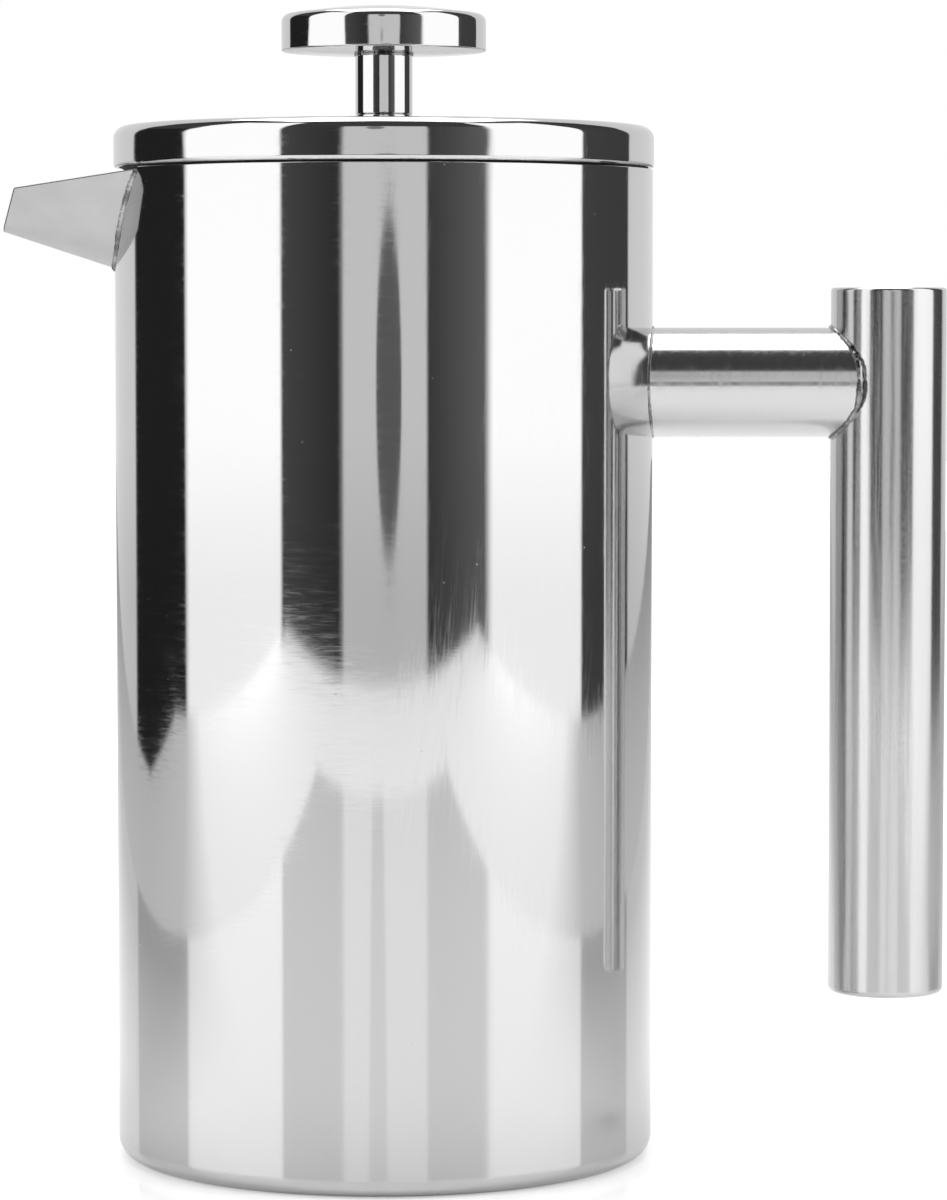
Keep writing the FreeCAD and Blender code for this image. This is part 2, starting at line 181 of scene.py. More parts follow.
def enter(mode):
    """Enters edit or object mode."""
    bpy.ops.object.mode_set(mode=mode)


def select_mesh():
    """Selects the whole mesh in edit mode."""
    bpy.ops.mesh.select_all(action="SELECT")


def select_none():
    """Deselects every object."""
    bpy.ops.object.select_all(action="DESELECT")


def new_point(name, place):
    """A piece of one point, left in edit mode with the point selected."""
    select_none()
    bpy.ops.mesh.primitive_plane_add(size=MM)
    piece = bpy.context.object
    piece.name = name
    piece.data.name = name
    enter("EDIT")
    bpy.ops.mesh.merge(type="CENTER")
    bpy.ops.transform.translate(value=place)
    return piece


def draw_through(points):
    """Extrudes the selected point through the points, of which it is the first."""
    for before, after in zip(points, points[1:]):
        bpy.ops.mesh.extrude_region_move(TRANSFORM_OT_translate={"value": after - before})


def merge_points():
    """Merges doubles in the whole mesh."""
    select_mesh()
    bpy.ops.mesh.remove_doubles(threshold=MERGE)


def smooth():
    """Smooths the selected piece, all but its hard edges."""
    bpy.ops.object.shade_smooth_by_angle(angle=SMOOTH_ANGLE)


def close_mesh(piece):
    """Merges doubles, turns the faces outward and smooths all but the hard edges."""
    merge_points()
    bpy.ops.mesh.normals_make_consistent(inside=False)
    enter("OBJECT")
    smooth()
    return piece


def filled_outline(name, points):
    """A face inside a closed line through the points, left selected in edit mode."""
    piece = new_point(name, points[0])
    draw_through([*points, points[0]])
    merge_points()
    select_mesh()
    bpy.ops.mesh.edge_face_add()
    return piece


def turned(name, profile, steps, centre=(0, 0), solid=False):
    """A turned piece from a profile of (radius, height). A solid one starts and ends on its axis."""
    axis = Vector((centre[0], centre[1], 0))
    points = [Vector((radius, 0, height)) + axis for radius, height in profile]
    if not solid:
        points.append(points[0])
    piece = new_point(name, points[0])
    draw_through(points)
    select_mesh()
    bpy.ops.mesh.spin(steps=steps, angle=TURN, center=axis, axis=(0, 0, 1))
    return close_mesh(piece)


def rounded(corners, steps=8):
    """A profile through corners (radius, height) or (radius, height, fillet). Each fillet is an arc
    with a guard point just outside either end, which keeps the flats beside it true."""
    points = []
    for index, corner in enumerate(corners):
        here = Vector(corner[:2])
        if len(corner) == 2:
            points.append(here)
            continue
        back = (Vector(corners[index - 1][:2]) - here).normalized()
        on = (Vector(corners[(index + 1) % len(corners)][:2]) - here).normalized()
        half = back.angle(on) / 2
        tangent = corner[2] / math.tan(half)
        centre = here + (back + on).normalized() * corner[2] / math.sin(half)
        first = here + back * tangent - centre
        last = here + on * tangent - centre
        sweep = math.pi - 2 * half
        points.append(centre + first + back * GUARD)
        for step in range(steps + 1):
            part = step / steps
            blend = first * math.sin((1 - part) * sweep) + last * math.sin(part * sweep)
            points.append(centre + blend / math.sin(sweep))
        points.append(centre + last + on * GUARD)
    return points


def dome(outer, rise, rings):
    """Heights (radius, rise) of a shallow dome from its edge to its middle, the edge left out."""
    ball = (outer ** 2 + rise ** 2) / (2 * rise)
    radii = [outer * (1 - step / rings) for step in range(1, rings + 1)]
    return [(radius, math.sqrt(ball ** 2 - radius ** 2) - ball + rise) for radius in radii]


def use_modifier(piece, kind, **values):
    """Adds a modifier with these values and applies it."""
    select_none()
    bpy.context.view_layer.objects.active = piece
    piece.select_set(True)
    modifier = piece.modifiers.new(kind.title(), kind)
    for key, value in values.items():
        setattr(modifier, key, value)
    bpy.ops.object.modifier_apply(modifier=modifier.name)


def cut_away(piece, tool):
    """Cuts the tool out of the piece and removes the tool."""
    use_modifier(piece, "BOOLEAN", operation="DIFFERENCE", solver="EXACT", object=tool)
    bpy.data.objects.remove(tool)


def hand_over(piece, body, slot, node, finish=None):
    """Gives a finished piece its body, slot and finish, and hides the node it stands for."""
    piece.data.materials.clear()
    piece.data.materials.append(material_for(finish or slot))
    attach(piece, body)
    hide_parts(node)


def true_normals(piece, normal_at):
    """Gives each corner the exact normal that normal_at returns for its place and face, so that
    reflections stay straight beside a cut. Corners it returns nothing for keep their own."""
    mesh = piece.data
    normals = [corner.vector.copy() for corner in mesh.corner_normals]
    for face in mesh.polygons:
        for index in face.loop_indices:
            exact = normal_at(mesh.vertices[mesh.loops[index].vertex_index].co, face.normal)
            if exact:
                normals[index] = exact
    mesh.normals_split_custom_set(normals)


def round_wall(centre, axis, radius, outward=1):
    """Exact normals of a round wall about an axis through the centre."""
    def normal_at(spot, facing):
        out = spot - centre
        out -= axis * out.dot(axis)
        if abs(facing.dot(axis)) > 0.2 or abs(out.length - radius) > 0.01 * MM:
            return None
        return out.normalized() * outward
    return normal_at


# ---- Material helpers ----

class Nodes:
    """A short way to place and join shader nodes in a tree."""

    def __init__(self, tree):
        self.tree = tree

    def feed(self, target, value):
        """Links a socket, or sets a plain value."""
        if isinstance(value, bpy.types.NodeSocket):
            self.tree.links.new(value, target)
        else:
            target.default_value = value

    def add(self, kind, inputs=None, **settings):
        """Adds a node, sets its properties and feeds its inputs."""
        node = self.tree.nodes.new(kind)
        for key, value in settings.items():
            setattr(node, key, value)
        for key, value in (inputs or {}).items():
            self.feed(node.inputs[key], value)
        return node

    def camera_ray(self):
        """A mask that is 1 for what the camera sees directly."""
        return self.add("ShaderNodeLightPath").outputs["Is Camera Ray"]

    def axes(self, vector):
        """The three parts of a vector."""
        return self.add("ShaderNodeSeparateXYZ", {0: vector}).outputs

    def maths(self, operation, first, second=0.0):
        """A math node's result."""
        return self.add("ShaderNodeMath", {0: first, 1: second}, operation=operation).outputs[0]

    def ranged(self, value, start, end, low_value=0.0, high_value=1.0):
        """The value mapped from one range to another, held at its ends."""
        return self.add("ShaderNodeMapRange", {
            "Value": value, "From Min": start, "From Max": end,
            "To Min": low_value, "To Max": high_value}).outputs["Result"]

    def blend(self, factor, first, second):
        """One colour mixed into another."""
        inputs = {"Factor": factor, "A": first, "B": second}
        return self.add("ShaderNodeMix", inputs, data_type="RGBA").outputs["Result"]

    def noise(self, vector, scale, detail=3.0, roughness=0.5):
        """A noise value."""
        return self.add("ShaderNodeTexNoise", {
            "Vector": vector, "Scale": scale, "Detail": detail,
            "Roughness": roughness}).outputs["Fac"]


def new_group(name, inputs, outputs):
    """A shader node group: its tree, its nodes, and the sockets that come in and go out."""
    tree = bpy.data.node_groups.new(name, "ShaderNodeTree")
    for socket, kind in {"Vector": "Vector", **inputs}.items():
        tree.interface.new_socket(name=socket, in_out="INPUT", socket_type="NodeSocket" + kind)
    for socket in outputs:
        tree.interface.new_socket(name=socket, in_out="OUTPUT", socket_type="NodeSocketFloat")
    nodes = Nodes(tree)
    return tree, nodes, nodes.add("NodeGroupInput").outputs, nodes.add("NodeGroupOutput").inputs


def polishing_lines():
    """Fine lines left by a polishing wheel: a height, and a mask of the deeper ones."""
    tree, nodes, given, put = new_group(
        "Polishing lines", {"Stretch": "Vector"}, ["Height", "Deep"])
    stretched = nodes.add("ShaderNodeMapping", {
        "Vector": given["Vector"], "Scale": given["Stretch"]}).outputs["Vector"]
    fine = nodes.noise(stretched, 1.0, 5.0, 0.65)
    coarse = nodes.noise(stretched, 0.31, 2.0)
    nodes.feed(put["Height"], nodes.maths("ADD", fine, nodes.maths("MULTIPLY", coarse, 0.6)))
    nodes.feed(put["Deep"], nodes.maths("MULTIPLY", nodes.ranged(fine, 0.42, 0.66),
                                        nodes.ranged(coarse, 0.3, 0.6)))
    return tree


def specks():
    """Scattered pinholes: a mask with a random size for each."""
    tree, nodes, given, put = new_group("Specks", {"Scale": "Float", "Size": "Float"}, ["Mask"])
    cells = nodes.add("ShaderNodeTexVoronoi", {
        "Vector": given["Vector"], "Scale": given["Scale"]}).outputs
    channels = nodes.add("ShaderNodeSeparateColor", {"Color": cells["Color"]}).outputs
    chosen = nodes.ranged(channels["Red"], 0.8, 1.0)
    limit = nodes.maths("MULTIPLY", chosen, given["Size"])
    nodes.feed(put["Mask"], nodes.maths("LESS_THAN", cells["Distance"], limit))
    return tree


def slow_waves():
    """The slow unevenness of hand-finished metal: a height."""
    tree, nodes, given, put = new_group("Slow waves", {"Scale": "Float"}, ["Height"])
    nodes.feed(put["Height"], nodes.noise(given["Vector"], given["Scale"], 1.0))
    return tree


EFFECTS = {}


def rgba(value):
    """A colour with full alpha."""
    return (value[0], value[1], value[2], 1.0)


class Finish(Nodes):
    """A material's nodes round its Principled shader, laid out by the piece's own coordinates."""

    def __init__(self, name, metallic=1.0):
        self.material = bpy.data.materials.new(name)
        self.material.use_nodes = True
        super().__init__(self.material.node_tree)
        self.shader = self.tree.nodes["Principled BSDF"].inputs
        self.shader["Metallic"].default_value = metallic
        self.where = self.add("ShaderNodeTexCoord").outputs["Object"]

    def effect(self, name, vector=None, **values):
        """The outputs of a shared effect with these values."""
        inputs = {"Vector": vector or self.where, **values}
        return self.add("ShaderNodeGroup", inputs, node_tree=EFFECTS[name]).outputs

    def cloud(self, scale, detail=3.0, roughness=0.5):
        """Noise over the piece."""
        return self.noise(self.where, scale, detail, roughness)

    def tone(self, base, mask, strength):
        """Sets a base colour that darkens a little where the mask is high."""
        dark = tuple(part * (1 - strength) for part in base)
        self.feed(self.shader["Base Color"], self.blend(mask, rgba(base), rgba(dark)))

    def rough(self, value):
        """Sets the roughness."""
        self.feed(self.shader["Roughness"], value)

    def bump(self, *layers):
        """Stacks bump layers of (height, depth in metres)."""
        below = {}
        for height, depth in layers:
            inputs = {"Strength": 1.0, "Distance": depth, "Height": height, **below}
            below = {"Normal": self.add("ShaderNodeBump", inputs).outputs["Normal"]}
        self.feed(self.shader["Normal"], below["Normal"])


def polished_steel(name="polished steel", wave_scale=24.0, wave_depth=0.014 * MM):
    """Mirror-polished sheet: level hairlines on the left, slanting upright ones on the right, slow
    waves and a scatter of dull pinholes."""
    steel = Finish(name)
    slant = steel.add("ShaderNodeMapping", {
        "Vector": steel.where, "Rotation": (0, math.radians(-4), 0)}).outputs["Vector"]
    level = steel.effect("lines", Stretch=(330, 330, 3200))
    upright = steel.effect("lines", slant, Stretch=(2600, 2600, 150))
    pins = steel.effect("specks", Scale=520, Size=0.09)
    waves = steel.effect("waves", Scale=wave_scale)
    cloud = steel.cloud(9.0, 2.0)
    right = steel.ranged(steel.axes(steel.where)["X"], -4 * MM, 10 * MM)
    left = steel.maths("SUBTRACT", 1.0, right)
    steel.tone(finishes().steel, cloud, 0.03)
    polish = finishes().polish
    marks = steel.maths("ADD", steel.maths("MULTIPLY", level["Deep"], left),
                        steel.maths("MULTIPLY", upright["Deep"], right))
    worn = steel.maths("MULTIPLY", marks, steel.ranged(cloud, 0.3, 0.7, 0.045, 0.09))
    dull = steel.maths("MULTIPLY", pins["Mask"], 0.2)
    even = steel.ranged(cloud, 0.3, 0.7, polish * 0.8, polish * 1.25)
    steel.rough(steel.maths("ADD", steel.maths("ADD", worn, even), dull))
    steel.bump((waves["Height"], wave_depth), (level["Height"], 0.0003 * MM),
               (upright["Height"], 0.0003 * MM))
    return steel.material


def pressed_steel():
    """Mirror-polished pressing: the same finish on a slightly wavy surface."""
    return polished_steel("pressed steel", 95.0, 0.12 * MM)


def grained_steel():
    """Polished tube with a sandy grain and pits."""
    steel = Finish("handle steel")
    grain = steel.cloud(2600, 3.0, 0.6)
    upright = steel.effect("lines", Stretch=(1800, 1800, 40))
    pits = steel.effect("specks", Scale=700, Size=0.1)
    waves = steel.effect("waves", Scale=60)
    steel.tone(finishes().tube, pits["Mask"], 0.35)
    steel.rough(steel.maths("ADD", steel.ranged(grain, 0.35, 0.7, 0.12, 0.17),
                            steel.maths("MULTIPLY", upright["Deep"], 0.1)))
    steel.bump((waves["Height"], 0.012 * MM), (grain, 0.003 * MM),
               (upright["Height"], 0.001 * MM))
    return steel.material


def spout_steel():
    """Sheet with a soft, even satin."""
    sheet = Finish("spout steel")
    rolled = sheet.effect("lines", Stretch=(420, 900, 900))
    waves = sheet.effect("waves", Scale=70)
    sheet.tone(finishes().sheet, sheet.ranged(sheet.cloud(90), 0.4, 0.7), 0.08)
    sheet.rough(sheet.ranged(rolled["Height"], 0.5, 1.1, 0.42, 0.5))
    sheet.bump((waves["Height"], 0.02 * MM))
    return sheet.material


def sheared_edge_painted_shade():
    """A sheet's cut edge with fine drag lines; its dark colour is painted shade along the edge."""
    edge = Finish("sheared edge with painted shade")
    drag = edge.effect("lines", Stretch=(2600, 2600, 200))
    # The dark edge colour is painted shade; the deeper drag lines darken it a little more.
    edge.tone(finishes().edge, drag["Deep"], 0.4)
    edge.rough(edge.ranged(drag["Height"], 0.5, 1.1, 0.3, 0.5))
    edge.bump((drag["Height"], 0.003 * MM))
    return edge.material


def satin_steel():
    """Inner pieces: a lathe's level rings on a satin ground."""
    satin = Finish("satin steel")
    rings = satin.effect("lines", Stretch=(50, 50, 2200))
    satin.tone(finishes().satin, satin.ranged(satin.cloud(40), 0.4, 0.8), 0.08)
    satin.rough(satin.ranged(rings["Height"], 0.5, 1.1, 0.22, 0.36))
    satin.bump((rings["Height"], 0.0015 * MM))
    return satin.material


def weld_steel():
    """Fused weld metal: lumpy, mottled and slightly straw-coloured."""
    weld = Finish("weld steel")
    lumps = weld.cloud(1500, 3.0, 0.6)
    weld.tone(finishes().weld, weld.ranged(weld.cloud(300, 2.0), 0.42, 0.62), 0.6)
    weld.rough(weld.ranged(lumps, 0.35, 0.7, 0.12, 0.3))
    weld.bump((lumps, 0.08 * MM))
    return weld.material


def woven_steel():
    """Fine woven screen: two sets of round wires with open holes between them."""
    screen = Finish("woven steel")
    wires = []
    for across in screen.axes(screen.where)[:2]:
        wave = screen.maths("COSINE", screen.maths("MULTIPLY", across, TURN / WEAVE))
        wires.append(screen.ranged(wave, -1, 1))
    height = screen.maths("MAXIMUM", *wires)
    cloud = screen.cloud(60)
    screen.tone(finishes().satin, screen.ranged(cloud, 0.4, 0.8), 0.15)
    screen.rough(screen.ranged(cloud, 0.3, 0.7, 0.25, 0.4))
    screen.feed(screen.shader["Alpha"], screen.maths("GREATER_THAN", height, 0.3))
    screen.bump((height, 0.15 * MM))
    return screen.material


def seal_rubber():
    """Black silicone with a dusty bloom."""
    rubber = Finish("seal rubber", 0.0)
    bloom = rubber.cloud(260, 4.0, 0.6)
    plain = rgba(finishes().seal)
    pale = rgba([part + 0.02 for part in finishes().seal])
    dusty = rubber.blend(rubber.ranged(bloom, 0.5, 0.8), plain, pale)
    rubber.feed(rubber.shader["Base Color"], dusty)
    rubber.rough(rubber.ranged(bloom, 0.3, 0.7, 0.45, 0.65))
    rubber.bump((bloom, 0.01 * MM))
    return rubber.material


MAKERS = {
    "mirror_steel": polished_steel,
    "pressed_steel": pressed_steel,
    "handle_steel": grained_steel,
    "spout_steel": spout_steel,
    "sheared_edge_painted_shade": sheared_edge_painted_shade,
    "satin_steel": satin_steel,
    "weld_bead": weld_steel,
    "mesh_steel": woven_steel,
    "black_silicone": seal_rubber,
}
MATERIALS = {}


def material_for(slot):
    """The material for a slot, made the first time it is asked for."""
    if not EFFECTS:
        EFFECTS.update(lines=polishing_lines(), specks=specks(), waves=slow_waves())
    if slot not in MATERIALS:
        MATERIALS[slot] = MAKERS[slot]()
    return MATERIALS[slot]


# ---- Spout shape ----

ROOT_REACH = 38 * MM
ROOT_ROUND = 18.6 * MM
ROOT_KEEL = 161.6 * MM
TIP_REACH = 72 * MM
TIP_ROUND = 3.9 * MM
TIP_KEEL = 172.76 * MM
LIP_REACH = 68 * MM
LIP_HEIGHT = 180.3 * MM
LIP_SLOPE = math.radians(7.5)
LIP_RAKE = math.radians(20.2)
FLARE = math.radians(38)
SPOUT_TOP = 195 * MM


def keel(away):
    """The round keel's radius at a distance from the pot's axis, and the height of its centre."""
    part = (away - ROOT_REACH) / (TIP_REACH - ROOT_REACH)
    radius = ROOT_ROUND + (TIP_ROUND - ROOT_ROUND) * part
    return radius, ROOT_KEEL + (TIP_KEEL - ROOT_KEEL) * part + radius


def spout_section(away, steps=28):
    """The spout's upright section at a distance from the pot's axis, left edge to right."""
    radius, middle = keel(away)
    points = []
    for step in range(steps + 1):
        turn = (math.pi / 2 - FLARE) * (2 * step / steps - 1)
        points.append(Vector((-away, radius * math.sin(turn), middle - radius * math.cos(turn))))
    rise = SPOUT_TOP - points[-1].z
    wide = points[-1].y + rise * math.tan(FLARE)
    guard = Vector((0, math.sin(FLARE), math.cos(FLARE))) * GUARD
    mirror = Vector((1, -1, 1))
    return [Vector((-away, -wide, SPOUT_TOP)), points[0] + guard * mirror, *points,
            points[-1] + guard, Vector((-away, wide, SPOUT_TOP))]


def spout_height(away, side):
    """Height of the spout's outside at a place."""
    radius, middle = keel(away)
    edge = radius * math.cos(FLARE)
    if abs(side) <= edge:
        return middle - math.sqrt(radius ** 2 - side ** 2)
    return middle - radius * math.sin(FLARE) + (abs(side) - edge) / math.tan(FLARE)


def draw_out(piece, root):
    """Extrudes the selected root section to the tip and gives its far end the tip's section."""
    bpy.ops.mesh.extrude_region_move(
        TRANSFORM_OT_translate={"value": (ROOT_REACH - TIP_REACH, 0, 0)})
    enter("OBJECT")
    tip = spout_section(TIP_REACH)
    for point in piece.data.vertices:
        if abs(point.co.x + TIP_REACH) > MERGE:
            continue
        nearest = min(range(len(root)), key=lambda index: (point.co - root[index]).yz.length)
        point.co = tip[nearest]
    enter("EDIT")
    return close_mesh(piece)


def spout_filler():
    """A closed solid that fills the spout."""
    root = spout_section(ROOT_REACH)
    return draw_out(filled_outline("spout_notch", root), root)


def notched(piece, radius, outward=1):
    """Cuts the spout's notch into a wall and keeps its reflections straight beside it."""
    cut_away(piece, spout_filler())
    smooth()
    true_normals(piece, round_wall(Vector(), Vector((0, 0, 1)), radius, outward))


# ---- Pieces ----

class PRESS_OT_pot(bpy.types.Operator):
    """Polished shell and inner cup"""
    bl_idname = "press.pot"
    bl_label = "Pot"

    def execute(self, context):
        size = sizes()
        steps = size.round_steps
        radius = reach("outer_shell")
        rim = high("inner_liner").z
        wall = size.shell_wall
        profile = rounded([
            (size.foot_inner, 0),
            (radius, 0, size.foot_corner),
            (radius, rim, 0.2 * MM),
            (radius - wall, rim, 0.2 * MM),
            (radius - wall, wall, size.foot_corner - wall),
            (size.foot_inner, wall),
        ])
        shell = turned("polished_shell", profile, steps)
        notched(shell, radius)
        hand_over(shell, "pot", "mirror_steel", "outer_shell")

        outer = size.cup_radius
        inner = outer - size.cup_wall
        floor = low("inner_liner").z
        flange = radius - wall
        flange_low = rim - wall
        cup_profile = rounded([
            (0, floor),
            (outer, floor, size.cup_corner),
            (outer, flange_low),
            (flange, flange_low),
            (flange, rim),
            (inner, rim, 0.25 * MM),
            (inner, floor + size.cup_wall, size.cup_corner - size.cup_wall),
            (0, floor + size.cup_wall),
        ], 10)
        cup = turned("brewing_cup", cup_profile, steps, solid=True)
        notched(cup, inner, -1)
        hand_over(cup, "pot", "satin_steel", "inner_liner")
        return {"FINISHED"}


class PRESS_OT_spout(bpy.types.Operator):
    """Folded sheet spout and the bead along its root"""
    bl_idname = "press.spout"
    bl_label = "Spout"

    def execute(self, context):
        size = sizes()
        spout = self.sheet(size)
        edges = [face.material_index for face in spout.data.polygons]
        hand_over(spout, "pot", "spout_steel", "spout")
        # The second material is the painted shade along the sheet's edges.
        spout.data.materials.append(material_for("sheared_edge_painted_shade"))
        spout.data.polygons.foreach_set("material_index", edges)
        bead = self.bead(size)
        hand_over(bead, "pot", "weld_bead", "spout_weld")
        return {"FINISHED"}

    def sheet(self, size):
        """The gutter: an open section drawn out to the tip, then made into a trimmed sheet."""
        root = spout_section(ROOT_REACH)
        piece = new_point("folded_spout", root[0])
        draw_through(root)
        select_mesh()
        return self.thicken(draw_out(piece, root), size)

    def thicken(self, piece, size):
        """Gives the sheet its thickness inward, trims the lip, breaks its edges, cuts the root."""
        middle = sum((face.normal * face.area for face in piece.data.polygons), Vector())
        offset = -1.0 if middle.z < 0 else 1.0
        use_modifier(piece, "SOLIDIFY", thickness=size.spout_sheet, offset=offset,
                     use_even_offset=True)
        enter("EDIT")
        slope = (math.sin(LIP_SLOPE), 0, -math.cos(LIP_SLOPE))
        rake = (math.cos(LIP_RAKE), 0, -math.sin(LIP_RAKE))
        tip = (-LIP_REACH, 0, LIP_HEIGHT)
        level = (0, 0, high("spout").z)
        for place, normal in ((tip, slope), (level, (0, 0, -1)), (tip, rake)):
            select_mesh()
            bpy.ops.mesh.bisect(plane_co=place, plane_no=normal, clear_inner=True, use_fill=True)
        close_mesh(piece)
        # The second material holds the painted edge shade; the bevels below take it, so it runs
        # along each sharp edge.
        for finish in ("spout_steel", "sheared_edge_painted_shade"):
            piece.data.materials.append(material_for(finish))
        use_modifier(piece, "BEVEL", width=0.26 * MM, segments=2, limit_method="ANGLE",
                     angle_limit=math.radians(50), material=1, use_clamp_overlap=False)
        select_none()
        bpy.ops.mesh.primitive_cylinder_add(
            vertices=size.round_steps, radius=size.cup_radius - size.cup_wall,
            depth=0.4, location=(0, 0, 0.1))
        cut_away(piece, bpy.context.object)
        smooth()
        return piece

    def bead(self, size):
        """A weld bead that follows the corner between the spout and the shell."""
        radius = reach("outer_shell")
        top = high("spout").z - size.bead_size
        path = []
        for step in range(401):
            side = radius * (step / 200 - 1) * 0.5
            away = math.sqrt(radius ** 2 - side ** 2)
            height = spout_height(away, side)
            if height <= top:
                path.append(Vector((-away, side, height)))
        return bead_along("spout_bead", path, size.bead_size * 1.1, seed=4)


def wire_from(piece, radius, sides=2):
    """Turns a drawn line of edges into a curve with this radius."""
    enter("OBJECT")
    bpy.ops.object.convert(target="CURVE")
    piece = bpy.context.object
    piece.data.bevel_depth = radius
    piece.data.bevel_resolution = sides
    piece.data.use_fill_caps = True
    return piece


def mesh_from(piece):
    """Turns a curve into a smooth mesh."""
    bpy.ops.object.convert(target="MESH")
    piece = bpy.context.object
    enter("EDIT")
    return close_mesh(piece)


def circle(radius, steps):
    """Pairs of coordinates round a circle."""
    turns = [TURN * step / steps for step in range(steps)]
    return [(radius * math.cos(turn), radius * math.sin(turn)) for turn in turns]


def bead_along(name, path, radius, seed, ripple=0.16, closed=False):
    """A lumpy weld bead along a path of points."""
    draw = random.Random(seed)
    if closed:
        path = [*path, path[0]]
    piece = new_point(name, path[0])
    draw_through(path)
    merge_points()
    piece = wire_from(piece, radius)
    lump = 0.0
    for index, point in enumerate(piece.data.splines[0].points):
        lump = 0.7 * lump + 0.3 * draw.uniform(-1, 1)
        point.radius = 1 + ripple * (lump * 2 + 0.5 * math.sin(index * 1.9))
    return mesh_from(piece)


class PRESS_OT_handle(bpy.types.Operator):
    """Upright tube with its end discs, the arm and their weld beads"""
    bl_idname = "press.handle"
    bl_label = "Handle"

    def execute(self, context):
        size = sizes()
        tube_low, tube_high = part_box("handle_tube")
        middle = ((tube_low.x + tube_high.x) / 2, 0)
        radius = reach("handle_tube", middle)
        inner = radius - size.tube_wall
        tube = turned("grip_tube", [
            (radius, tube_low.z),
            (radius, tube_high.z),
            (inner, tube_high.z),
            (inner, tube_low.z),
        ], size.small_steps, middle)
        hand_over(tube, "pot", "handle_steel", "handle_tube")
        top = high("handle_top_cap").z
        bottom = low("handle_bottom_cap").z
        for name, node, start, end, soft in (
                ("grip_top_disc", "handle_top_cap", tube_high.z, top, 0.6 * MM),
                ("grip_bottom_disc", "handle_bottom_cap", tube_low.z, bottom, 1.1 * MM)):
            corners = [(0, start), (radius, start), (radius, end, soft), (0, end)]
            disc = turned(name, rounded(corners, 6), size.small_steps, middle, solid=True)
            hand_over(disc, "pot", "handle_steel", node)
        self.arm(size, middle[0], radius)
        return {"FINISHED"}

    def arm(self, size, grip_x, grip_radius):
        """The short level tube, shaped at both ends to what it meets, and its two beads."""
        arm_low, arm_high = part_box("handle_arm")
        centre_x = (arm_low.x + arm_high.x) / 2
        height = (arm_low.z + arm_high.z) / 2
        radius = (arm_high.z - arm_low.z) / 2
        pot = reach("outer_shell")
        select_none()
        bpy.ops.mesh.primitive_cylinder_add(
            vertices=size.small_steps, radius=radius, depth=arm_high.x - arm_low.x,
            end_fill_type="NOTHING", rotation=(0, math.pi / 2, 0), location=(centre_x, 0, height))
        piece = bpy.context.object
        piece.name = "arm_tube"
        bpy.ops.object.transform_apply(location=True, rotation=True, scale=True)
        for point in piece.data.vertices:
            if point.co.x < centre_x:
                point.co.x = math.sqrt(pot ** 2 - point.co.y ** 2)
            else:
                point.co.x = grip_x - self.gap(grip_radius, point.co.y)
        enter("EDIT")
        close_mesh(piece)
        use_modifier(piece, "SOLIDIFY", thickness=size.tube_wall, offset=-1)
        smooth()
        middle = Vector((centre_x, 0, height))
        true_normals(piece, round_wall(middle, Vector((1, 0, 0)), radius))
        hand_over(piece, "pot", "handle_steel", "handle_arm")

        proud = 0.05 * MM
        root = []
        grip = []
        for side, rise in circle(radius + 0.06 * MM, 150):
            away = math.sqrt(pot ** 2 - side ** 2) + proud
            root.append(Vector((away, side, height + rise)))
            grip.append(Vector((grip_x - self.gap(grip_radius, side), side, height + rise)))
        for name, node, path, seed, fat in (("pot_bead", "arm_root_weld", root, 11, 0.26 * MM),
                                            ("grip_bead", "arm_tube_weld", grip, 23, 0.5 * MM)):
            bead = bead_along(name, path, fat, seed, ripple=0.32, closed=True)
            hand_over(bead, "pot", "weld_bead", node)

    def gap(self, grip_radius, side):
        """How far before the grip's axis the arm ends at this side. The nose is ground blunt."""
        sunk = grip_radius - 0.45 * MM
        blunt = 6.2 * MM
        return ((sunk ** 2 - side ** 2) ** 2 + blunt ** 4) ** 0.25


class PRESS_OT_lid(bpy.types.Operator):
    """Domed cover and seal ring"""
    bl_idname = "press.lid"
    bl_label = "Lid"

    def execute(self, context):
        size = sizes()
        self.cover(size)
        self.seal(size)
        return {"FINISHED"}

    def cover(self, size):
        """The cover: a folded-in lower edge, a straight side and a shallow dome with a hole."""
        outer = reach("lid_cap")
        bottom = low("lid_cap").z
        hole = 4.55 * MM
        rise = 0.8 * MM
        fold = 0.2 * MM
        fold_top = bottom + 0.5 * MM
        edge = bottom + 7.5 * MM
        crown = edge + rise
        wall = size.lid_wall
        over = [(r, edge + h) for r, h in dome(outer - size.lid_corner, rise, 10) if r > hole]
        under = [(r, h - wall) for r, h in reversed(over)]
        corners = [
            (outer - fold, bottom, 0.1 * MM),
            (outer, fold_top, 1.8 * MM),
            (outer, edge, size.lid_corner),
            *over,
            (hole, crown),
            (hole, crown - wall),
            *under,
            (outer - wall, edge - wall, size.lid_corner - wall),
            (outer - wall, fold_top),
            (outer - fold - wall, bottom),
        ]
        cover = turned("domed_cover", rounded(corners, 10), size.round_steps)
        hand_over(cover, "lid", "mirror_steel", "lid_cap", finish="pressed_steel")

    def seal(self, size):
        """The seal ring, with a shallow groove round its edge."""
        seal_low, seal_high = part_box("lid_seal")
        outer = reach("lid_seal")
        inner = outer - 3 * MM
        groove = outer - 0.5 * MM
        soft = 0.35 * MM
        seal = turned("rim_seal", rounded([
            (inner, seal_low.z, soft),
            (outer, seal_low.z, soft),
            (groove, (seal_low.z + seal_high.z) / 2, 0.25 * MM),
            (outer, seal_high.z, soft),
            (inner, seal_high.z, soft),
        ], 4), size.round_steps)
        hand_over(seal, "lid_seal", "black_silicone", "lid_seal")


